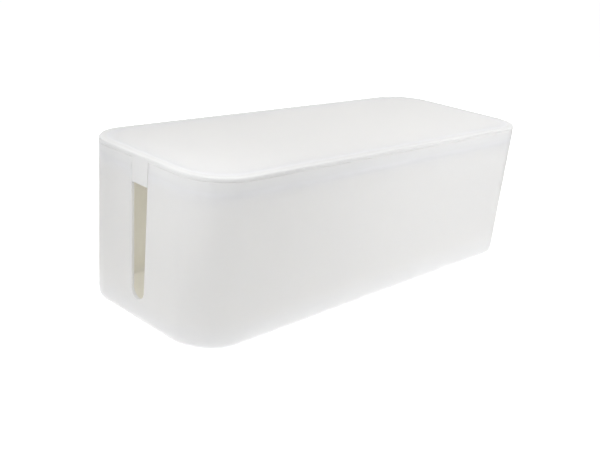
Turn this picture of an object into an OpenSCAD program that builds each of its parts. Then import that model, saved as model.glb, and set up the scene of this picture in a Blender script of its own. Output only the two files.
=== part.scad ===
// Cable management box: a drafted, thin-walled tub with a tapered cable slot in each end,
// a lift-off lid whose tongues close the mouths of the slots, and four rubber feet.
// X runs along the box, the long front face looks along -Y, and Z = 0 is the table.

/* [Overall] */
// Length over the lid
length = 407; // [330:1:480]
// Width over the lid
width = 157; // [130:1:200]
// Height from the table to the top of the lid
height = 133.5; // [110:0.5:160]
// Plan radius of the upright corners, at the rim
corner_r = 37; // [26:1:44]
// Lean of the walls from upright, so that the tub leaves its mould
draft = 0.8; // [0.3:0.1:1.5]

/* [Tub] */
// Thickness of the walls and the floor
wall = 2.5; // [1.8:0.1:3.2]
// Outer radius of the bend between the floor and the walls
bend_r = 5; // [4:0.5:10]
// Round on the outer edge of the rim
rim_round = 0.8; // [0.3:0.1:0.9]

/* [Cable slots] */
// Width of a slot at the lower edge of the tongue that closes its mouth
slot_mouth_w = 19.5; // [16:0.5:26]
// Width of a slot where its round end starts
slot_foot_w = 15.5; // [10:0.5:19]
// Height of the lowest point of a slot above the table
slot_low_z = 21; // [14:1:40]

/* [Lid] */
// Height of the lid's edge, down to the seam
lid_edge_h = 3; // [2.6:0.1:5]
// Thickness of the lid's top inside its edge
lid_t = 2.5; // [1.8:0.1:2.6]
// Round along the top edge of the lid
lid_round = 1.2; // [0.5:0.1:1.8]
// Round along the lower edge of the lid, which opens the seam
seam_round = 0.4; // [0.1:0.1:0.6]
// Depth of the locating skirt below the seam
skirt_h = 6; // [4:0.5:10]
// Thickness of the skirt
skirt_t = 1.8; // [1.4:0.1:2.4]
// Gap between the skirt and the wall of the tub
skirt_gap = 0.5; // [0.3:0.1:0.8]
// Length of a tongue below the seam
tongue_h = 18.7; // [12:0.1:26]
// Gap on each side of a tongue in its slot
tongue_gap = 0.35; // [0.3:0.05:0.6]

/* [Feet] */
// Diameter of a rubber foot
foot_d = 14; // [10:1:18]
// How far a foot stands out below the floor
foot_proud = 1.5; // [1:0.1:2]
// Depth of the recess that holds a foot
foot_seat = 0.8; // [0.4:0.1:1]
// Gap round a foot in its recess
foot_gap = 0.2; // [0.1:0.05:0.4]
// Round on the lower edge of a foot
foot_round = 0.6; // [0.2:0.1:0.9]
// Flat floor left between a foot's recess and the bend, on the corner's diagonal
foot_margin = 6; // [3:0.5:10]

/* [Hidden] */
$fn = 96;

plastic_white = [0.93, 0.93, 0.92];
rubber_grey = [0.72, 0.72, 0.71];

rim_z = height - lid_edge_h;
floor_z = foot_proud;
// corners of the rectangle that the rounded outline is drawn round
core_x = length / 2 - corner_r;
core_y = width / 2 - corner_r;
// slots and tongues are cut and built well past the walls before they are trimmed
past = 10;

// Radius of the outer wall about a corner of the core rectangle, at height z
function outer_r(z) = corner_r - (rim_z - z) * tan(draft);
// Horizontal reach of a thickness that is measured square to the leaning wall
function across(t) = t / cos(draft);
// Point at distance r from c, on the line square to the outer face of the wall
function square_to_wall(c, r) = [c.x + r * cos(draft), c.y - r * sin(draft)];
// Centre of a round of radius r that touches the outer face, with its centre at height z
function round_centre(r, z) = [outer_r(z) - across(r), z];
// Half the width of a slot at height z: straight sides that open towards the rim
slot_foot_z = slot_low_z + slot_foot_w / 2;
tongue_low_z = rim_z - tongue_h;
slot_lean = (slot_mouth_w - slot_foot_w) / 2 / (tongue_low_z - slot_foot_z);
function slot_half(z) = slot_foot_w / 2 + (z - slot_foot_z) * slot_lean;

// A piece of a disc or ring between two directions, less than a half turn apart
module arc_piece(c, r_out, r_in, from, to) {
  reach = 2 * r_out;
  mid = (from + to) / 2;
  translate(c) intersection() {
    difference() {
      circle(r = r_out);
      if (r_in > 0) circle(r = r_in);
    }
    polygon([[0, 0], for (a = [from, mid, to]) reach * [cos(a), sin(a)]]);
  }
}

// A solid that follows the rounded rectangle: its section (across, height) is turned at each
// corner and drawn straight along each side. The section starts on the core rectangle.
module round_the_box() {
  for (corner = [[1, 1, 0], [-1, 1, 90], [-1, -1, 180], [1, -1, 270]])
    translate([corner.x * core_x, corner.y * core_y, 0])
      rotate([0, 0, corner.z]) rotate_extrude(angle = 90) children();
  for (side = [[core_x, core_y, 0], [core_y, core_x, 90], [core_x, core_y, 180], [core_y, core_x, 270]])
    rotate([0, 0, side.z]) translate([side.x, side.y, 0])
      rotate([90, 0, -90]) mirror([1, 0, 0]) linear_extrude(2 * side.x) children();
}

// Section of the tub from the core rectangle out: floor, bend, leaning wall and rounded rim
module tub_section() {
  bend = round_centre(bend_r, floor_z + bend_r);
  rim = round_centre(rim_round, rim_z - rim_round);
  polygon([[0, floor_z], [bend.x, floor_z], [bend.x, floor_z + wall], [0, floor_z + wall]]);
  arc_piece(bend, bend_r, bend_r - wall, -90, -draft);
  polygon([
    square_to_wall(bend, bend_r), square_to_wall(rim, rim_round), rim, [rim.x, rim_z],
    [outer_r(rim_z) - across(wall), rim_z], square_to_wall(bend, bend_r - wall)
  ]);
  arc_piece(rim, rim_round, 0, -draft, 90);
}

// Outline of a cable slot seen from the end, open at the top
module slot_outline(grow = 0) {
  top = height + past;
  translate([0, slot_foot_z]) circle(r = slot_foot_w / 2 + grow);
  polygon([
    [-slot_half(slot_foot_z) - grow, slot_foot_z], [slot_half(slot_foot_z) + grow, slot_foot_z],
    [slot_half(top) + grow, top], [-slot_half(top) - grow, top]
  ]);
}

// Draws an outline (Y, Z) out through the end wall on one side of the box
module through_end(side) {
  translate([side < 0 ? -length / 2 - past : core_x, 0, 0])
    rotate([90, 0, 90]) linear_extrude(corner_r + past) children();
}

// Puts a foot on a corner's diagonal, x and y being the signs of its corner
module foot_place(x, y) {
  reach = round_centre(bend_r, floor_z + bend_r).x - foot_margin - foot_gap - foot_d / 2;
  translate([x * (core_x + reach * cos(45)), y * (core_y + reach * sin(45)), 0]) children();
}

module tub() {
  color(plastic_white) difference() {
    union() {
      round_the_box() tub_section();
      translate([-core_x, -core_y, floor_z]) cube([2 * core_x, 2 * core_y, wall]);
    }
    for (side = [-1, 1]) through_end(side) slot_outline();
    for (x = [-1, 1], y = [-1, 1])
      foot_place(x, y) cylinder(h = floor_z + foot_seat, d = foot_d + 2 * foot_gap);
  }
}

// Section of the lid's border: the plate with its rounded edge, and the skirt below it
module lid_section() {
  top = [corner_r - lid_round, height - lid_round];
  seam = [corner_r - seam_round, rim_z + seam_round];
  skirt_out = corner_r - across(wall) - skirt_gap;
  skirt_lean = skirt_h * tan(draft);
  polygon([
    [0, height], [top.x, height], top, [corner_r, top.y], [corner_r, seam.y], seam,
    [seam.x, rim_z], [skirt_out - skirt_t, rim_z], [skirt_out - skirt_t, height - lid_t],
    [0, height - lid_t]
  ]);
  arc_piece(top, lid_round, 0, 0, 90);
  arc_piece(seam, seam_round, 0, -90, 0);
  polygon([
    [skirt_out, rim_z], [skirt_out - skirt_lean, rim_z - skirt_h],
    [skirt_out - skirt_lean - skirt_t, rim_z - skirt_h], [skirt_out - skirt_t, rim_z]
  ]);
}

// Section of a tongue: it runs on from the lid's edge in the line of the wall, and is thickened
// inwards as far as the skirt
module tongue_section() {
  polygon([
    [corner_r, rim_z + seam_round], [corner_r, rim_z], [outer_r(tongue_low_z), tongue_low_z],
    [outer_r(tongue_low_z) - across(wall), tongue_low_z],
    [outer_r(rim_z - skirt_h) - across(wall), rim_z - skirt_h],
    [outer_r(rim_z - skirt_h) - across(wall) - skirt_gap - skirt_t / 2, rim_z - skirt_h],
    [corner_r - across(wall) - skirt_gap - skirt_t / 2, rim_z],
    [corner_r - across(wall) - skirt_gap - skirt_t / 2, rim_z + seam_round]
  ]);
}

module tongue(side) {
  intersection() {
    rotate([0, 0, side > 0 ? 0 : 180]) translate([core_x, slot_mouth_w, 0])
      rotate([90, 0, 0]) linear_extrude(2 * slot_mouth_w) tongue_section();
    through_end(side) slot_outline(-tongue_gap);
  }
}

module lid() {
  color(plastic_white) {
    round_the_box() lid_section();
    translate([-core_x, -core_y, height - lid_t]) cube([2 * core_x, 2 * core_y, lid_t]);
    for (side = [-1, 1]) tongue(side);
  }
}

// One rubber foot, with its lower edge rounded
module foot() {
  r = foot_d / 2;
  color(rubber_grey) rotate_extrude() {
    polygon([
      [0, 0], [r - foot_round, 0], [r - foot_round, foot_round], [r, foot_round],
      [r, floor_z + foot_seat], [0, floor_z + foot_seat]
    ]);
    arc_piece([r - foot_round, foot_round], foot_round, 0, -90, 0);
  }
}

module foot_front_left() { foot_place(-1, -1) foot(); }
module foot_front_right() { foot_place(1, -1) foot(); }
module foot_back_left() { foot_place(-1, 1) foot(); }
module foot_back_right() { foot_place(1, 1) foot(); }

tub();
lid();
foot_front_left();
foot_front_right();
foot_back_left();
foot_back_right();
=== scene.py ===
import math

import bmesh
import bpy
import numpy as np
from bpy.props import FloatProperty, FloatVectorProperty, PointerProperty
from mathutils import Matrix, Vector


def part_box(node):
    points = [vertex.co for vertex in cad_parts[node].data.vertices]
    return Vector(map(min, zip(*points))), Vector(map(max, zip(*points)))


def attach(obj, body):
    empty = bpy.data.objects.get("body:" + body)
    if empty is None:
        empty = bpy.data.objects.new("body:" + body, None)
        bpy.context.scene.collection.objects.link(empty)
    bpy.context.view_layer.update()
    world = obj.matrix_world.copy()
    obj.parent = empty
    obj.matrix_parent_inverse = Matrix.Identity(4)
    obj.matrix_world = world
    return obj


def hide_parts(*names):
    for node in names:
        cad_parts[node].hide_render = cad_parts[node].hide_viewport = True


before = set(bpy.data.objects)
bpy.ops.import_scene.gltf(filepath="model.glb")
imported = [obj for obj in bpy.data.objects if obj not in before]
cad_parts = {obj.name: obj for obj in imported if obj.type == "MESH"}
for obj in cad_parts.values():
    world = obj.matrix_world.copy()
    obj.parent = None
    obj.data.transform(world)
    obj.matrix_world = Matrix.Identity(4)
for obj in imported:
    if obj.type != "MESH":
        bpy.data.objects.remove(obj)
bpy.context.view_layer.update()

bl_info = {
    "name": "Cable management box",
    "version": (1, 0, 0),
    "blender": (4, 5, 0),
    "location": "3D View > Sidebar > Cable Box",
    "description": "Makes a moulded cable box: slotted tub, lift-off lid, rubber feet and a pale studio",
    "category": "Add Mesh",
}

# Driving sizes that the frame gives, in metres
TUB_LOW, TUB_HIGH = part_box("tub")
LID_LOW, LID_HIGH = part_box("lid")
HALF_LENGTH = LID_HIGH.x
HALF_WIDTH = LID_HIGH.y
HEIGHT = LID_HIGH.z
RIM_Z = TUB_HIGH.z
FLOOR_Z = TUB_LOW.z
TONGUE_LOW_Z = LID_LOW.z
FEET = {name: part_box(name) for name in sorted(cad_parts) if name.startswith("foot_")}

FRONT, BACK = -1, 1
LEFT, RIGHT = -1, 1
QUARTER = math.pi / 2
THIN, INNER = "thin", "inner"

# Steps of the grids along each stretch
END_STEPS = 12
CORNER_STEPS = 36
SIDE_STEPS = 32
BEND_STEPS = 12
ROUND_STEPS = 8
TONGUE_STEPS = 8
FOOT_STEPS = 96

# Length over which the plastic turns from thin to solid, next to the lid's skirt
THIN_FADE = 0.007


class ShellSizes(bpy.types.PropertyGroup):
    """Sizes of the tub's walls, which the lid follows."""

    corner_r: FloatProperty(
        name="Corner radius", description="Plan radius of the upright corners at the rim",
        default=0.037, min=0.026, max=0.044, unit="LENGTH", precision=4)
    draft: FloatProperty(
        name="Draft", description="Lean of the walls from upright",
        default=math.radians(0.8), min=math.radians(0.3), max=math.radians(1.5), subtype="ANGLE")
    wall: FloatProperty(
        name="Wall", description="Thickness of the walls and the floor",
        default=0.0025, min=0.0018, max=0.0032, unit="LENGTH", precision=4)
    bend_r: FloatProperty(
        name="Floor bend", description="Outer radius of the bend between the floor and the walls",
        default=0.005, min=0.004, max=0.010, unit="LENGTH", precision=4)
    rim_round: FloatProperty(
        name="Rim round", description="Round on the outer edge of the rim",
        default=0.0008, min=0.0003, max=0.0009, unit="LENGTH", precision=5)
    rim_inner_round: FloatProperty(
        name="Inner rim round", description="Round on the inner edge of the rim",
        default=0.0003, min=0.0001, max=0.0006, unit="LENGTH", precision=5)


class SlotSizes(bpy.types.PropertyGroup):
    """Sizes of the cable slot in each end of the tub."""

    mouth_w: FloatProperty(
        name="Mouth width", description="Width of a slot at the lower edge of the lid's tongue",
        default=0.0195, min=0.016, max=0.026, unit="LENGTH", precision=4)
    foot_w: FloatProperty(
        name="Foot width", description="Width of a slot where its round end starts",
        default=0.0155, min=0.010, max=0.019, unit="LENGTH", precision=4)
    low_z: FloatProperty(
        name="Lowest point", description="Height of the lowest point of a slot above the table",
        default=0.021, min=0.014, max=0.040, unit="LENGTH", precision=4)
    lip: FloatProperty(
        name="Lip round", description="Round on the edges of a slot",
        default=0.0002, min=0.0001, max=0.0006, unit="LENGTH", precision=5)


class LidSizes(bpy.types.PropertyGroup):
    """Sizes of the lid's plate, skirt and tongues."""

    thickness: FloatProperty(
        name="Thickness", description="Thickness of the lid's top inside its edge",
        default=0.0025, min=0.0018, max=0.0026, unit="LENGTH", precision=4)
    edge_round: FloatProperty(
        name="Edge round", description="Round along the top edge of the lid",
        default=0.0012, min=0.0005, max=0.0018, unit="LENGTH", precision=5)
    seam_round: FloatProperty(
        name="Seam round", description="Round along the lower edge of the lid",
        default=0.0004, min=0.0001, max=0.0006, unit="LENGTH", precision=5)
    skirt_h: FloatProperty(
        name="Skirt depth", description="Depth of the locating skirt below the seam",
        default=0.006, min=0.004, max=0.010, unit="LENGTH", precision=4)
    skirt_t: FloatProperty(
        name="Skirt thickness", description="Thickness of the locating skirt",
        default=0.0018, min=0.0014, max=0.0024, unit="LENGTH", precision=4)
    skirt_gap: FloatProperty(
        name="Skirt gap", description="Gap between the skirt and the wall of the tub",
        default=0.0005, min=0.0003, max=0.0008, unit="LENGTH", precision=5)
    tongue_gap: FloatProperty(
        name="Tongue gap", description="Gap on each side of a tongue in its slot",
        default=0.00035, min=0.0003, max=0.0006, unit="LENGTH", precision=5)
    small_round: FloatProperty(
        name="Small round", description="Round on the edges of the skirt and the tongues",
        default=0.00015, min=0.0001, max=0.0004, unit="LENGTH", precision=5)


class FootSizes(bpy.types.PropertyGroup):
    """Sizes of the rubber feet and of the recesses that hold them."""

    gap: FloatProperty(
        name="Gap", description="Gap round a foot in its recess",
        default=0.0002, min=0.0001, max=0.0004, unit="LENGTH", precision=5)
    edge_round: FloatProperty(
        name="Edge round", description="Round on the lower edge of a foot",
        default=0.0006, min=0.0002, max=0.0009, unit="LENGTH", precision=5)


class PlasticLook(bpy.types.PropertyGroup):
    """Colours and finish of the moulded plastic."""

    colour: FloatVectorProperty(
        name="Colour", description="Colour of the plastic",
        default=(0.945, 0.953, 0.99), min=0, max=1, subtype="COLOR")
    cloud_colour: FloatVectorProperty(
        name="Cloud colour", description="Colour of the faint clouds left by the flow of the plastic",
        default=(0.935, 0.943, 0.98), min=0, max=1, subtype="COLOR")
    cloud_size: FloatProperty(
        name="Cloud size", description="Size of the faint clouds",
        default=0.09, min=0.01, max=0.3, unit="LENGTH")
    grain_size: FloatProperty(
        name="Grain size", description="Size of the grains of the mould's fine texture",
        default=0.0005, min=0.0001, max=0.003, unit="LENGTH", precision=5)
    grain_depth: FloatProperty(
        name="Grain depth", description="Depth of the mould's fine texture",
        default=0.00001, min=0, max=0.0001, unit="LENGTH", precision=6)
    roughness: FloatProperty(
        name="Roughness", description="Roughness of the satin surface",
        default=0.36, min=0, max=1, subtype="FACTOR")
    # Warm cream painted on the inner faces: painted light, for the warm tint of the light that comes
    # through the plastic and the shade inside the box.
    inner_painted_warm_light: FloatVectorProperty(
        name="Inner colour",
        description="Colour of the inner faces, which light reaches through the plastic",
        default=(0.985, 0.95, 0.825), min=0, max=1, subtype="COLOR")
    inner_roughness: FloatProperty(
        name="Inner roughness", description="Roughness of the inner faces, which the mould leaves dull",
        default=0.7, min=0, max=1, subtype="FACTOR")
    # Greyer copy of the plastic's colour for the solid parts: painted light that stands in for the light
    # that thin walls let through. It is set bright enough to give the lid's edge a painted highlight.
    edge_painted_light_colour: FloatVectorProperty(
        name="Edge colour",
        description="Colour of the lid's edge and tongues, which no light comes through",
        default=(0.78, 0.775, 0.76), min=0, max=1, subtype="COLOR")
    through_colour: FloatVectorProperty(
        name="Through colour", description="Colour of the light that comes through the plastic",
        default=(0.99, 0.98, 0.95), min=0, max=1, subtype="COLOR")
    milkiness: FloatProperty(
        name="Milkiness", description="Share of the light that goes into a thin wall and comes through",
        default=0.37, min=0, max=1, subtype="FACTOR")
    floor_share: FloatProperty(
        name="Floor share", description="Share of that milkiness in the floor of the tub",
        default=0.6, min=0, max=1, subtype="FACTOR")


class RubberLook(bpy.types.PropertyGroup):
    """Colours and finish of the rubber feet."""

    colour: FloatVectorProperty(
        name="Colour", description="Colour of the rubber",
        default=(0.42, 0.42, 0.41), min=0, max=1, subtype="COLOR")
    dust_colour: FloatVectorProperty(
        name="Dust colour", description="Colour of the rubber's pale bloom",
        default=(0.52, 0.52, 0.50), min=0, max=1, subtype="COLOR")
    grain_size: FloatProperty(
        name="Grain size", description="Size of the grains of the rubber",
        default=0.0008, min=0.0001, max=0.003, unit="LENGTH", precision=5)


class StudioLook(bpy.types.PropertyGroup):
    """The camera, and the brightness of the studio."""

    camera_place: FloatVectorProperty(
        name="Camera place", description="Where the camera stands",
        default=(-0.54727, -0.47472, 0.29506), subtype="TRANSLATION", unit="LENGTH")
    camera_heading: FloatProperty(
        name="Heading", description="Turn of the camera from straight back towards the right",
        default=math.radians(47.53), subtype="ANGLE")
    camera_tilt: FloatProperty(
        name="Tilt", description="How far the camera looks down",
        default=math.radians(19.39), subtype="ANGLE")
    camera_roll: FloatProperty(
        name="Roll", description="Turn of the camera about the line that it looks along",
        default=math.radians(-5.56), subtype="ANGLE")
    lens: FloatProperty(
        name="Lens", description="Focal length on a sensor 36 mm wide",
        default=50.25, min=10, max=300, unit="CAMERA")
    light_colour: FloatVectorProperty(
        name="Light colour", description="Colour of the softboxes",
        default=(0.978, 0.985, 1.0), min=0, max=1, subtype="COLOR")
    room_sheen: FloatProperty(
        name="Room sheen", description="Brightness of the white room in the reflections on the plastic",
        default=0.566, min=0, max=4)
    floor_glow: FloatProperty(
        name="Floor glow", description="Light that comes up through the floor round the box",
        default=0.355, min=0, max=4)
    under_glow: FloatProperty(
        name="Under glow", description="Light that comes up through the floor under the box",
        default=1.3, min=0, max=4)


SETTINGS = {
    "cable_box_shell": ShellSizes,
    "cable_box_slot": SlotSizes,
    "cable_box_lid": LidSizes,
    "cable_box_foot": FootSizes,
    "cable_box_plastic": PlasticLook,
    "cable_box_rubber": RubberLook,
    "cable_box_studio": StudioLook,
}


# ---------------------------------------------------------------- grids and meshes


def arc(centre, radius, start, end, steps):
    """Points on a circle: the centre plus the radius times (cosine, sine) of an even row of angles."""
    angle = np.linspace(start, end, steps + 1)
    return np.column_stack([centre[0] + radius * np.cos(angle), centre[1] + radius * np.sin(angle)])


def cells(rows, cols):
    """Corner numbers of the faces of a grid of points: one quad for each cell."""
    at = np.arange(rows * cols).reshape(rows, cols)
    return np.stack([at[:-1, :-1], at[:-1, 1:], at[1:, 1:], at[1:, :-1]], -1).reshape(-1, 4)


def mesh_of(name, grids):
    """One closed mesh from grids of points whose edges meet. Open loops that are left are capped."""
    firsts = np.cumsum([0] + [grid.shape[0] * grid.shape[1] for grid in grids])
    points = np.concatenate([grid.reshape(-1, 3) for grid in grids])
    faces = np.concatenate([cells(*grid.shape[:2]) + first for grid, first in zip(grids, firsts)])
    mesh = bpy.data.meshes.new(name)
    mesh.from_pydata(points, [], faces)
    tidy(mesh)
    return mesh


def tidy(mesh):
    """Merges points that coincide, closes open loops and turns the faces of a closed mesh outwards."""
    merge_distance = 2e-6
    work = bmesh.new()
    work.from_mesh(mesh)
    bmesh.ops.remove_doubles(work, verts=work.verts, dist=merge_distance)
    bmesh.ops.holes_fill(work, edges=[edge for edge in work.edges if edge.is_boundary])
    bmesh.ops.recalc_face_normals(work, faces=work.faces)
    work.to_mesh(mesh)
    work.free()


def cut_or_join(target, tool, operation):
    """Gives the target's mesh the shape of a boolean with the tool's mesh, and removes the tool."""
    step = target.modifiers.new(operation.title(), "BOOLEAN")
    step.operation = operation
    step.solver = "EXACT"
    step.object = tool
    made = target.evaluated_get(bpy.context.evaluated_depsgraph_get())
    shape = bpy.data.meshes.new_from_object(made)
    target.modifiers.clear()
    old, target.data = target.data, shape
    bpy.data.meshes.remove(old)
    bpy.data.meshes.remove(tool.data)
    tidy(shape)


def new_object(name, mesh):
    """An object at the origin that holds the mesh."""
    piece = bpy.data.objects.new(name, mesh)
    bpy.context.scene.collection.objects.link(piece)
    return piece


def finish_piece(piece, body, node, material):
    """Smooths the piece's round faces, gives it its finish and puts it in its CAD node's place."""
    sharp_angle = math.radians(40)
    mesh = piece.data
    mesh.materials.clear()
    mesh.materials.append(material)
    mesh.shade_smooth()
    mesh.set_sharp_from_angle(angle=sharp_angle)
    even = piece.modifiers.new("Even flats", "WEIGHTED_NORMAL")
    even.keep_sharp = True
    even.weight = 100
    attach(piece, body)
    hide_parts(node)


# ---------------------------------------------------------------- the walls that tub and lid share


def wall_reach(shell, z):
    """Reach of the outer wall beyond the core rectangle at height z: the corner radius at the rim,
    less the height below the rim times the tangent of the draft."""
    return shell.corner_r - (RIM_Z - z) * math.tan(shell.draft)


def across(shell):
    """Horizontal reach of the wall's thickness, which is measured square to the leaning wall."""
    return shell.wall / math.cos(shell.draft)


def core(shell):
    """Half the length and half the width of the rectangle that the rounded outline goes round."""
    return HALF_LENGTH - shell.corner_r, HALF_WIDTH - shell.corner_r


def half_ring(shell, section, mouth, side):
    """The front or back half of a surface that follows the rounded rectangle.

    A row of the grid is one (reach, height) of the section, and a column one place on the way round.
    The point is (core point) + reach * (direction). The core point goes along one end of the core
    rectangle, its long side and the other end. The direction turns a quarter circle at each corner.
    On the ends the core point starts at mouth from the centre line, one value for each row."""
    core_x, core_y = core(shell)
    along_end = np.linspace(0, 1, END_STEPS + 1)[:-1]
    turn = np.linspace(0, QUARTER, CORNER_STEPS + 1)
    along_side = np.linspace(-1, 1, SIDE_STEPS + 1)[1:-1]
    angle = np.concatenate([
        0 * along_end, turn, 0 * along_side + QUARTER, turn + QUARTER, 0 * along_end + 2 * QUARTER])
    core_share = np.concatenate([
        0 * along_end - 1, 0 * turn - 1, along_side, 0 * turn + 1, 0 * along_end + 1])
    end_share = np.concatenate([
        along_end, 0 * turn + 1, 0 * along_side + 1, 0 * turn + 1, along_end[::-1]])
    reach, z = section[:, :1], section[:, 1:]
    start = np.broadcast_to(mouth, len(section))[:, None]
    x = core_share * core_x - reach * np.cos(angle)
    y = side * (start + (core_y - start) * end_share + reach * np.sin(angle))
    return np.stack([x, y, z + 0 * x], -1)


def core_patch(shell, z):
    """The flat rectangle that half rings leave open: x and y run over the core rectangle, in the
    steps of the rings' own columns."""
    core_x, core_y = core(shell)
    x = np.linspace(-core_x, core_x, SIDE_STEPS + 1)
    y = np.linspace(-core_y, core_y, 2 * END_STEPS + 1)
    x, y = np.meshgrid(x, y, indexing="ij")
    return np.stack([x, y, z + 0 * x], -1)


# ---------------------------------------------------------------- tub


def slot_half(slot, z):
    """Half the width of a slot's straight part at height z, which opens evenly towards the rim."""
    foot_z = slot.low_z + slot.foot_w / 2
    lean = (slot.mouth_w - slot.foot_w) / 2 / (TONGUE_LOW_Z - foot_z)
    return slot.foot_w / 2 + (z - foot_z) * lean


def slot_edge(shell, slot, grow):
    """Edge of a slot seen from the end, as (half width, height) from its lowest point to the rim,
    grown outwards by grow: a quarter circle, then the leaning side. The growth dies out at the rim."""
    round_steps, side_steps = 24, 16
    radius = slot.foot_w / 2
    foot_z = slot.low_z + radius
    turn = np.linspace(0, QUARTER, round_steps + 1)
    low = np.column_stack([(radius + grow) * np.sin(turn), foot_z - (radius + grow) * np.cos(turn)])
    rim_start = RIM_Z - shell.rim_round
    z = np.concatenate([
        np.linspace(foot_z, rim_start, side_steps + 1)[1:],
        arc((0, rim_start), shell.rim_round, 0, QUARTER, ROUND_STEPS)[1:, 1]])
    share = np.clip((rim_start - z) / (rim_start - foot_z) * side_steps, 0, 1)
    return np.concatenate([low, np.column_stack([slot_half(slot, z) + grow * share, z])])


def outer_face(shell, z):
    """Reach of the tub's outer face at height z: the leaning wall, then the round of the rim."""
    centre_z = RIM_Z - shell.rim_round
    drop = shell.rim_round - np.sqrt(shell.rim_round**2 - np.clip(z - centre_z, 0, shell.rim_round) ** 2)
    return wall_reach(shell, np.minimum(z, centre_z)) - drop


def inner_face(shell, z):
    """Reach of the tub's inner face at height z: the leaning wall, then the rim's small inner round."""
    size = shell.rim_inner_round
    centre_z = RIM_Z - size
    drop = size - np.sqrt(size**2 - np.clip(z - centre_z, 0, size) ** 2)
    return wall_reach(shell, np.minimum(z, centre_z)) - across(shell) + drop


def slot_lip(shell, slot, end, side):
    """One side of a slot through the end wall, with both of its edges rounded.

    Rows follow the slot's edge upwards, and columns go from the outer face to the inner face. A round is
    a quarter circle: the edge shrinks by lip * (1 - sine) while the depth grows by lip * (1 - cosine)."""
    core_x = core(shell)[0]
    grown, bare = slot_edge(shell, slot, slot.lip), slot_edge(shell, slot, 0)
    turn = np.linspace(0, QUARTER, ROUND_STEPS // 2 + 1)
    growth = np.concatenate([1 - np.sin(turn), (1 - np.sin(turn))[::-1]])
    depth = slot.lip * (1 - np.cos(turn))
    edge = bare[:, None] + (grown - bare)[:, None] * growth[:, None]
    y, z = edge[..., 0], edge[..., 1]
    fade = np.clip((grown[:, :1] - bare[:, :1] + bare[:, 1:] - grown[:, 1:]) / slot.lip, 0, 1)
    outside = outer_face(shell, z[:, : len(turn)]) - depth * fade
    inside = inner_face(shell, z[:, len(turn):]) + depth[::-1] * fade
    x = end * (core_x + np.concatenate([outside, inside], 1))
    return np.stack([x, side * y, z], -1)


def tub_grids(shell, slot):
    """The tub's whole skin: the section runs from the middle of the underside round the bend, up
    the outer face, over the rim, down the inner face and back over the floor."""
    bend_z = FLOOR_Z + shell.bend_r
    bend = (wall_reach(shell, bend_z) - shell.bend_r / math.cos(shell.draft), bend_z)
    under = np.concatenate([
        [[0, FLOOR_Z]], arc(bend, shell.bend_r, -QUARTER, -shell.draft, BEND_STEPS)])
    over = np.concatenate([
        arc(bend, shell.bend_r - shell.wall, -shell.draft, -QUARTER, BEND_STEPS),
        [[0, FLOOR_Z + shell.wall]]])
    edge = slot_edge(shell, slot, slot.lip)
    half, z = edge.T
    up = np.column_stack([outer_face(shell, z), z])
    down = np.column_stack([inner_face(shell, z), z])[::-1]
    section = np.concatenate([under, up, down, over])
    mouth = np.concatenate([0 * under[:, 0], half, half[::-1], 0 * over[:, 0]])
    return [
        *[half_ring(shell, section, mouth, side) for side in (FRONT, BACK)],
        *[slot_lip(shell, slot, end, side) for end in (LEFT, RIGHT) for side in (FRONT, BACK)],
        core_patch(shell, FLOOR_Z),
        core_patch(shell, FLOOR_Z + shell.wall),
    ]


# ---------------------------------------------------------------- turned pieces


def turned(profile, centre):
    """A profile of (radius, height) turned about an upright line: (radius * cosine, radius * sine,
    height) about the centre, for an even row of angles."""
    angle = np.linspace(0, 4 * QUARTER, FOOT_STEPS + 1)
    radius, z = profile[:, :1], profile[:, 1:]
    x, y = centre.x + radius * np.cos(angle), centre.y + radius * np.sin(angle)
    return np.stack([x, y, z + 0 * x], -1)


def foot_shape(foot, low, high):
    """Profile of a foot, from the middle of its sole to the middle of its top."""
    low_round, top_round = foot.edge_round, 0.0002
    radius = (high.x - low.x) / 2
    return np.concatenate([
        [[0, low.z], [radius / 2, low.z]],
        arc((radius - low_round, low.z + low_round), low_round, -QUARTER, 0, ROUND_STEPS),
        arc((radius - top_round, high.z - top_round), top_round, 0, QUARTER, ROUND_STEPS // 2),
        [[0, high.z]]])


def recess_shape(foot, low, high):
    """Profile of the space that a foot's recess takes out of the tub, from below the floor up."""
    radius = (high.x - low.x) / 2 + foot.gap
    return np.array([[0, low.z], [radius, low.z], [radius, high.z], [0, high.z]])


# ---------------------------------------------------------------- lid


def thin_border(shell, lid):
    """Reaches between which the lid's plate turns from thin, inside the box, to solid, over its skirt."""
    solid = shell.corner_r - across(shell) - lid.skirt_gap - lid.skirt_t
    return solid - THIN_FADE, solid - 2 * lid.small_round


def lid_section(shell, lid):
    """Section of the lid from the middle of its top over its edge, along the seam, round the skirt and
    back under the plate."""
    small, fillet = lid.small_round, 2 * lid.small_round
    out = shell.corner_r
    skirt_out = out - across(shell) - lid.skirt_gap
    skirt_in = skirt_out - lid.skirt_t
    skirt_lean = lid.skirt_h * math.tan(shell.draft)
    low_out, low_in = skirt_out - skirt_lean, skirt_in - skirt_lean
    skirt_z = RIM_Z - lid.skirt_h
    under_z = HEIGHT - lid.thickness
    seam_z = RIM_Z + lid.seam_round
    thin_end, solid_start = thin_border(shell, lid)
    return np.concatenate([
        [[0, HEIGHT], [thin_end, HEIGHT], [solid_start, HEIGHT]],
        arc((out - lid.edge_round, HEIGHT - lid.edge_round), lid.edge_round, QUARTER, 0, ROUND_STEPS),
        arc((out - lid.seam_round, seam_z), lid.seam_round, 0, -QUARTER, ROUND_STEPS // 2),
        arc((skirt_out + small, RIM_Z - small), small, QUARTER, 2 * QUARTER, ROUND_STEPS // 2),
        arc((low_out - small, skirt_z + small), small, 0, -QUARTER, ROUND_STEPS // 2),
        arc((low_in + small, skirt_z + small), small, -QUARTER, -2 * QUARTER, ROUND_STEPS // 2),
        arc((skirt_in - fillet, under_z - fillet), fillet, 0, QUARTER, ROUND_STEPS // 2),
        [[thin_end, under_z], [0, under_z]]])


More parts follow.
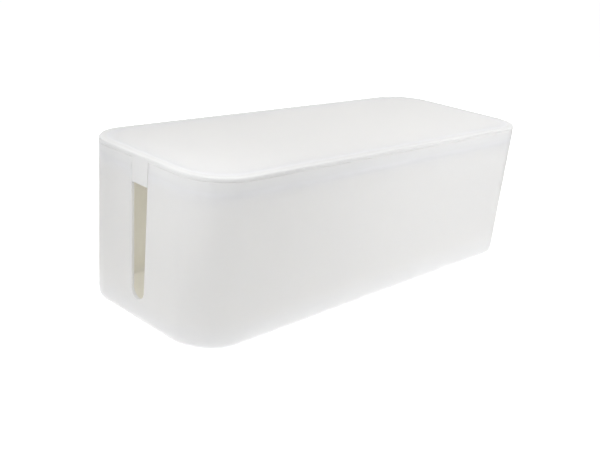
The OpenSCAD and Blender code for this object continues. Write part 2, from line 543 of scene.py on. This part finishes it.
def lid_grids(shell, lid):
    """The lid's plate and skirt, without its tongues."""
    section = lid_section(shell, lid)
    return [
        *[half_ring(shell, section, 0.0, side) for side in (FRONT, BACK)],
        core_patch(shell, HEIGHT),
        core_patch(shell, HEIGHT - lid.thickness),
    ]


def tongue_section(shell, lid):
    """Closed section of a tongue: down in the line of the wall's outer face, round the lower edge, up
    the inner face and out to the middle of the skirt."""
    small = lid.small_round
    low_out = wall_reach(shell, TONGUE_LOW_Z)
    low_in = low_out - across(shell)
    skirt_z = RIM_Z - lid.skirt_h
    ledge = wall_reach(shell, skirt_z) - across(shell)
    inward = lid.skirt_gap + lid.skirt_t / 2
    inside = shell.corner_r - across(shell) - inward
    top_z = RIM_Z + lid.seam_round
    return np.concatenate([
        [[shell.corner_r, top_z], [shell.corner_r, RIM_Z]],
        arc((low_out - small, TONGUE_LOW_Z + small), small, 0, -QUARTER, ROUND_STEPS // 2),
        arc((low_in + small, TONGUE_LOW_Z + small), small, -QUARTER, -2 * QUARTER, ROUND_STEPS // 2),
        [[ledge, skirt_z], [ledge - inward, skirt_z], [inside, RIM_Z], [inside, top_z]]])


def tongue_grid(shell, slot, lid, end):
    """One tongue: the section carried from one side of the slot to the other. Its half width at each
    height is the slot's, less the gap."""
    section = tongue_section(shell, lid)
    section = np.concatenate([section, section[:1]])
    reach, z = section[:, :1], section[:, 1:]
    share = np.linspace(-1, 1, TONGUE_STEPS + 1)
    y = share * (slot_half(slot, z) - lid.tongue_gap)
    x = end * (core(shell)[0] + reach) + 0 * y
    return np.stack([x, y, z + 0 * y], -1)


# ---------------------------------------------------------------- finishes


class Nodes:
    """Adds nodes to a material and links them."""

    def __init__(self, name):
        self.material = bpy.data.materials.new(name)
        self.material.use_nodes = True
        self.tree = self.material.node_tree
        self.shader = self.tree.nodes["Principled BSDF"]
        self.place = self.add("ShaderNodeTexCoord").outputs["Object"]

    def add(self, kind, **values):
        node = self.tree.nodes.new(kind)
        for key, value in values.items():
            setattr(node, key, value)
        return node

    def join(self, source, target):
        self.tree.links.new(source, target)

    def noise(self, size, detail, roughness=0.5):
        """Noise whose cells are about size metres across."""
        node = self.add("ShaderNodeTexNoise")
        node.inputs["Scale"].default_value = 1 / size
        node.inputs["Detail"].default_value = detail
        node.inputs["Roughness"].default_value = roughness
        self.join(self.place, node.inputs["Vector"])
        return node.outputs["Fac"]

    def attribute(self, name):
        """The piece's own attribute of that name."""
        return self.add("ShaderNodeAttribute", attribute_name=name).outputs["Fac"]

    def spread(self, source, low, high, from_low=0.3, from_high=0.7):
        """The source, stretched so that one range becomes low to high. The range is that of most noise
        where no other is given."""
        node = self.add("ShaderNodeMapRange")
        node.inputs["From Min"].default_value = from_low
        node.inputs["From Max"].default_value = from_high
        node.inputs["To Min"].default_value = low
        node.inputs["To Max"].default_value = high
        self.join(source, node.inputs["Value"])
        return node.outputs["Result"]

    def blend(self, share, first, second):
        """A colour between two, by the share. Each is a colour or another node's output."""
        node = self.add("ShaderNodeMix", data_type="RGBA")
        for socket, colour in ((node.inputs[6], first), (node.inputs[7], second)):
            if isinstance(colour, bpy.types.NodeSocket):
                self.join(colour, socket)
            else:
                socket.default_value = (*colour, 1)
        self.join(share, node.inputs[0])
        return node.outputs[2]

    def vector(self, operation, source, other=None):
        """A sum on a vector, with a fixed second one where the operation takes two."""
        node = self.add("ShaderNodeVectorMath", operation=operation)
        self.join(source, node.inputs[0])
        if other:
            node.inputs[1].default_value = other
        return node.outputs["Vector"]

    def sum(self, operation, first, second):
        """A sum on two outputs."""
        node = self.add("ShaderNodeMath", operation=operation)
        self.join(first, node.inputs[0])
        self.join(second, node.inputs[1])
        return node.outputs["Value"]

    def bump(self, height, depth):
        """Relief of the given depth in metres."""
        node = self.add("ShaderNodeBump")
        node.inputs["Distance"].default_value = depth
        self.join(height, node.inputs["Height"])
        self.join(node.outputs["Normal"], self.shader.inputs["Normal"])


def satin_plastic(name, look):
    """White moulded plastic: faint clouds of flow and a fine spark-eroded grain. A share of the light, its
    milkiness, goes into the thin walls and comes out on their other side. The piece's own attributes
    say where it is thin enough for that, and which faces are on the inside of the box.

    The inner faces get a warm cream: painted light for the warm tint of the light through the plastic
    and the shade inside the box. The solid parts get a greyer colour with painted light in it. That
    colour stands in for the light that thin walls let through, and it is bright enough to give the lid's
    edge a painted highlight. The light through a wall that gets thin grows slowly at first, so the
    colour, painted light and all, turns a little ahead."""
    smoother, rougher = 0.03, 0.04
    colour_lead = 1.25
    nodes = Nodes(name)
    shader = nodes.shader
    thin, inner = nodes.attribute(THIN), nodes.attribute(INNER)
    clouds = nodes.spread(nodes.noise(look.cloud_size, detail=3), 0, 1)
    # Painted light: the inner faces' warm cream and the solid parts' greyer colour are blended in here.
    walls = nodes.blend(inner, nodes.blend(clouds, look.colour, look.cloud_colour), look.inner_painted_warm_light)
    wall_share = nodes.sum("MULTIPLY", thin, nodes.spread(thin, colour_lead, 1, 0, 1))
    nodes.join(nodes.blend(wall_share, look.edge_painted_light_colour, walls), shader.inputs["Base Color"])
    handling = nodes.noise(look.cloud_size / 4, detail=5, roughness=0.6)
    outer_roughness = nodes.spread(handling, look.roughness - smoother, look.roughness + rougher)
    inner_roughness = nodes.spread(inner, 0, look.inner_roughness, 0, 1)
    nodes.join(nodes.sum("MAXIMUM", outer_roughness, inner_roughness), shader.inputs["Roughness"])
    nodes.bump(nodes.noise(look.grain_size, detail=2), look.grain_depth)
    shader.inputs["IOR"].default_value = 1.49
    through = nodes.add("ShaderNodeBsdfTranslucent")
    through.inputs["Color"].default_value = (*look.through_colour, 1)
    mix = nodes.add("ShaderNodeMixShader")
    nodes.join(nodes.spread(thin, 0, look.milkiness, 0, 1), mix.inputs["Fac"])
    nodes.join(shader.outputs["BSDF"], mix.inputs[1])
    nodes.join(through.outputs["BSDF"], mix.inputs[2])
    nodes.join(mix.outputs["Shader"], nodes.tree.nodes["Material Output"].inputs["Surface"])
    return nodes.material


def read_vectors(items, key):
    """The vector that each point or face of a mesh holds under the key."""
    values = np.empty(3 * len(items), np.float32)
    items.foreach_get(key, values)
    return values.reshape(-1, 3)


def write_attribute(mesh, name, domain, values):
    """Gives the mesh an attribute with one number for each point or face."""
    mesh.attributes.new(name, "FLOAT", domain).data.foreach_set("value", values.astype(np.float32))


def beyond_core(shell, places):
    """How far places lie beyond the core rectangle, as (x, y)."""
    flat = places[:, :2]
    return np.sign(flat) * np.maximum(np.abs(flat) - core(shell), 0)


def mark_thin_tub(mesh, shell, slot, lid, floor_share):
    """The tub's walls are thin between the bend at their foot and the lid's skirt behind their rim. The
    floor has a share of that."""
    skirt_z = RIM_Z - lid.skirt_h
    heights = (FLOOR_Z + shell.bend_r, slot.low_z, skirt_z - THIN_FADE, skirt_z)
    z = read_vectors(mesh.vertices, "co")[:, 2]
    write_attribute(mesh, THIN, "POINT", np.interp(z, heights, (floor_share, 1, 1, 0)))


def mark_thin_lid(mesh, shell, lid):
    """The lid's plate is thin inside its skirt, and the rest of the lid is solid."""
    reach = np.linalg.norm(beyond_core(shell, read_vectors(mesh.vertices, "co")), axis=1)
    write_attribute(mesh, THIN, "POINT", np.interp(reach, thin_border(shell, lid), (1, 0)))


def mark_inner(mesh, shell):
    """Inner is 1 on a face whose normal points towards the core rectangle, on the upper side of the
    floor and on the lower side of the lid's plate."""
    facing = 0.5
    normal, centre = read_vectors(mesh.polygons, "normal"), read_vectors(mesh.polygons, "center")
    beyond = beyond_core(shell, centre)
    reach = np.linalg.norm(beyond, axis=1)
    inside = reach < shell.corner_r - across(shell)
    turned_in = ((normal[:, :2] * beyond).sum(1) < -facing * reach) & (reach > 0)
    above_floor = (normal[:, 2] > facing) & (centre[:, 2] < FLOOR_Z + shell.bend_r)
    under_plate = (normal[:, 2] < -facing) & (centre[:, 2] > RIM_Z) & inside
    write_attribute(mesh, INNER, "FACE", turned_in | above_floor | under_plate)


def matt_rubber(name, look):
    """Soft rubber: a pale bloom in patches over a fine grain."""
    patch_size, relief = look.grain_size * 6, look.grain_size / 20
    bare_roughness, bloom_roughness = 0.62, 0.8
    nodes = Nodes(name)
    shader = nodes.shader
    bloom = nodes.spread(nodes.noise(patch_size, detail=4), 0, 1)
    nodes.join(nodes.blend(bloom, look.colour, look.dust_colour), shader.inputs["Base Color"])
    nodes.join(nodes.spread(bloom, bare_roughness, bloom_roughness, 0, 1), shader.inputs["Roughness"])
    nodes.bump(nodes.noise(look.grain_size, detail=3), relief)
    shader.inputs["Specular IOR Level"].default_value = 0.35
    return nodes.material


def pale_floor(name, studio, shell):
    """A white floor with the faintest clouds. It glows under the box and a little round it, as a light
    table does. Further off it looks white to the camera without giving light, like the room.

    All of that goes by the reach beyond the box's core rectangle: the length of max(|place| - core, 0)."""
    cloud_size = 0.6
    white, off_white = (0.95, 0.95, 0.95), (0.93, 0.93, 0.93)
    edge = shell.corner_r
    inside_edge, outside_edge = edge - 0.003, edge + 0.004
    glow_end, white_start = edge + 0.12, edge + 0.15
    nodes = Nodes(name)
    shader = nodes.shader
    clouds = nodes.spread(nodes.noise(cloud_size, detail=3), 0, 1)
    nodes.join(nodes.blend(clouds, white, off_white), shader.inputs["Base Color"])
    shader.inputs["Roughness"].default_value = 0.9
    shader.inputs["Specular IOR Level"].default_value = 0.1
    shader.inputs["Emission Color"].default_value = (1, 1, 1, 1)
    beyond = nodes.vector("ABSOLUTE", nodes.place)
    beyond = nodes.vector("SUBTRACT", beyond, (*core(shell), 1))
    beyond = nodes.vector("MAXIMUM", beyond, (0, 0, 0))
    length = nodes.add("ShaderNodeVectorMath", operation="LENGTH")
    nodes.join(beyond, length.inputs[0])
    reach = length.outputs["Value"]
    under = nodes.spread(reach, studio.under_glow, 0, inside_edge, outside_edge)
    near = nodes.spread(reach, studio.floor_glow, 0, edge, glow_end)
    seen = nodes.add("ShaderNodeLightPath").outputs["Is Camera Ray"]
    far = nodes.sum("MULTIPLY", nodes.spread(reach, 0, 1, edge, white_start), seen)
    glow = nodes.sum("ADD", nodes.sum("ADD", under, near), far)
    nodes.join(glow, shader.inputs["Emission Strength"])
    return nodes.material


# ---------------------------------------------------------------- stage


# Points that the softboxes aim at
BOX_MIDDLE = (0, 0, 0.066)
FRONT_RIGHT = (0.1, -0.05, 0.07)
LEFT_CORNER = (-0.2, -0.05, 0.07)

# Softboxes: name, place, point that it aims at, (width, height), watts
SOFTBOXES = (
    ("behind_left", (-0.4, 1.09, 0.38), BOX_MIDDLE, (0.7, 0.5), 6.45),
    ("above_back_right", (0.4, 0.5, 0.9), BOX_MIDDLE, (0.5, 0.5), 6.4),
    ("above_front_left", (-0.35, -0.4, 0.9), BOX_MIDDLE, (0.5, 0.5), 1.9),
    ("over_front", (0.25, -0.4, 0.45), FRONT_RIGHT, (0.2, 0.2), 1.5),
    ("by_front", (0.05, -0.4, 0.3), FRONT_RIGHT, (0.2, 0.2), 0.38),
    ("over_left_corner", (-0.36, -0.14, 0.3), LEFT_CORNER, (0.15, 0.15), 0.27),
    ("by_left_end", (-0.4, -0.06, 0.25), LEFT_CORNER, (0.15, 0.15), 0.25),
)


def add_softbox(name, place, aim, size, colour, watts):
    """A soft rectangular light. Neither it nor its highlight is seen."""
    data = bpy.data.lights.new(name, "AREA")
    data.shape = "RECTANGLE"
    data.size, data.size_y = size
    data.color = colour
    data.energy = watts
    light = bpy.data.objects.new(name, data)
    turn = (Vector(aim) - Vector(place)).to_track_quat("-Z", "Y").to_matrix().to_4x4()
    light.matrix_world = Matrix.Translation(place) @ turn
    light.visible_camera = light.visible_glossy = False
    bpy.context.scene.collection.objects.link(light)


def add_floor(studio, shell):
    """A wide round floor at the table's height: rings whose radius grows with the square of the step."""
    radius, ring_count = 14.0, 24
    rings = np.linspace(0, 1, ring_count + 1) ** 2 * radius
    profile = np.column_stack([rings, 0 * rings])
    floor = new_object("floor", bpy.data.meshes.new("floor"))
    grid = turned(profile, Vector((0, 0, 0)))
    floor.data.from_pydata(grid.reshape(-1, 3), [], cells(*grid.shape[:2])[:, ::-1])
    floor.data.materials.append(pale_floor("floor_white", studio, shell))


def add_camera(studio):
    """The camera: it looks along its heading, tilted down, and is rolled about that line."""
    data = bpy.data.cameras.new("camera")
    data.sensor_width = 36
    data.lens = studio.lens
    data.clip_start, data.clip_end = 0.01, 60
    heading, tilt, roll = studio.camera_heading, studio.camera_tilt, studio.camera_roll
    forward = Vector((
        math.sin(heading) * math.cos(tilt), math.cos(heading) * math.cos(tilt), -math.sin(tilt)))
    level = Vector((math.cos(heading), -math.sin(heading), 0))
    down = forward.cross(level)
    right = level * math.cos(roll) + down * math.sin(roll)
    up = level * math.sin(roll) - down * math.cos(roll)
    turn = Matrix((right, up, -forward)).transposed().to_4x4()
    camera = bpy.data.objects.new("camera", data)
    camera.matrix_world = Matrix.Translation(studio.camera_place) @ turn
    bpy.context.scene.collection.objects.link(camera)
    bpy.context.scene.camera = camera


def add_room(studio):
    """A room that looks white and is mirrored softly, but gives no other light, and colours shown as
    they are."""
    world = bpy.data.worlds.new("white_room")
    world.use_nodes = True
    tree = world.node_tree
    background = tree.nodes["Background"]
    background.inputs["Color"].default_value = (1, 1, 1, 1)
    seen = tree.nodes.new("ShaderNodeLightPath")
    sheen = tree.nodes.new("ShaderNodeMath")
    sheen.operation = "MULTIPLY_ADD"
    sheen.inputs[1].default_value = studio.room_sheen
    tree.links.new(seen.outputs["Is Glossy Ray"], sheen.inputs[0])
    tree.links.new(seen.outputs["Is Camera Ray"], sheen.inputs[2])
    tree.links.new(sheen.outputs["Value"], background.inputs["Strength"])
    scene = bpy.context.scene
    scene.world = world
    scene.view_settings.view_transform = "Standard"


# ---------------------------------------------------------------- operators, panel and registration


class CABLEBOX_OT_stage(bpy.types.Operator):
    """Make the pale floor, the soft lights and the camera."""

    bl_idname = "cable_box.stage"
    bl_label = "Make stage"

    def execute(self, context):
        studio = context.scene.cable_box_studio
        add_room(studio)
        add_floor(studio, context.scene.cable_box_shell)
        for name, place, aim, size, watts in SOFTBOXES:
            add_softbox(name, place, aim, size, studio.light_colour, watts)
        add_camera(studio)
        return {"FINISHED"}


class CABLEBOX_OT_tub(bpy.types.Operator):
    """Make the drafted tub with its two cable slots and the recesses for its feet."""

    bl_idname = "cable_box.tub"
    bl_label = "Make tub"

    def execute(self, context):
        scene = context.scene
        shell, slot, plastic = scene.cable_box_shell, scene.cable_box_slot, scene.cable_box_plastic
        tub = new_object("tub_moulding", mesh_of("tub", tub_grids(shell, slot)))
        recesses = [
            turned(recess_shape(scene.cable_box_foot, low, high), (low + high) / 2)
            for low, high in FEET.values()]
        cut_or_join(tub, new_object("recesses", mesh_of("recesses", recesses)), "DIFFERENCE")
        if not tub.data.polygons:
            raise RuntimeError("the tub has no faces left after its recesses were cut")
        mark_thin_tub(tub.data, shell, slot, scene.cable_box_lid, plastic.floor_share)
        mark_inner(tub.data, shell)
        finish_piece(tub, "tub", "tub", satin_plastic("tub_white", plastic))
        return {"FINISHED"}


class CABLEBOX_OT_lid(bpy.types.Operator):
    """Make the lid with its rounded edge, its locating skirt and its two tongues."""

    bl_idname = "cable_box.lid"
    bl_label = "Make lid"

    def execute(self, context):
        scene = context.scene
        shell, slot, sizes = scene.cable_box_shell, scene.cable_box_slot, scene.cable_box_lid
        lid = new_object("lid_moulding", mesh_of("lid", lid_grids(shell, sizes)))
        tongues = mesh_of("tongues", [tongue_grid(shell, slot, sizes, end) for end in (LEFT, RIGHT)])
        cut_or_join(lid, new_object("tongues", tongues), "UNION")
        if not lid.data.polygons:
            raise RuntimeError("the lid has no faces left after its tongues were joined")
        mark_thin_lid(lid.data, shell, sizes)
        mark_inner(lid.data, shell)
        white = satin_plastic("lid_white", scene.cable_box_plastic)
        finish_piece(lid, "lid", "lid", white)
        return {"FINISHED"}


class CABLEBOX_OT_feet(bpy.types.Operator):
    """Make the four rubber feet."""

    bl_idname = "cable_box.feet"
    bl_label = "Make feet"

    def execute(self, context):
        scene = context.scene
        rubber = matt_rubber("foot_grey", scene.cable_box_rubber)
        for node, (low, high) in FEET.items():
            shape = turned(foot_shape(scene.cable_box_foot, low, high), (low + high) / 2)
            pad = new_object(node.replace("foot", "pad"), mesh_of(node, [shape]))
            finish_piece(pad, "tub", node, rubber)
        return {"FINISHED"}


class CABLEBOX_PT_panel(bpy.types.Panel):
    """Lists the operators and the sizes and colours that they use."""

    bl_idname = "CABLEBOX_PT_panel"
    bl_label = "Cable Box"
    bl_space_type = "VIEW_3D"
    bl_region_type = "UI"
    bl_category = "Cable Box"

    def draw(self, context):
        for operator in OPERATORS:
            self.layout.operator(operator.bl_idname)
        for key, group in SETTINGS.items():
            box = self.layout.box()
            for prop in group.__annotations__:
                box.prop(getattr(context.scene, key), prop)


OPERATORS = (CABLEBOX_OT_stage, CABLEBOX_OT_tub, CABLEBOX_OT_lid, CABLEBOX_OT_feet)
CLASSES = (*SETTINGS.values(), *OPERATORS, CABLEBOX_PT_panel)


def register():
    for item in CLASSES:
        bpy.utils.register_class(item)
    for key, group in SETTINGS.items():
        setattr(bpy.types.Scene, key, PointerProperty(type=group))


def unregister():
    for key in SETTINGS:
        delattr(bpy.types.Scene, key)
    for item in reversed(CLASSES):
        bpy.utils.unregister_class(item)


def main():
    register()
    bpy.ops.cable_box.stage()
    bpy.ops.cable_box.tub()
    bpy.ops.cable_box.lid()
    bpy.ops.cable_box.feet()


if __name__ == "__main__":
    main()
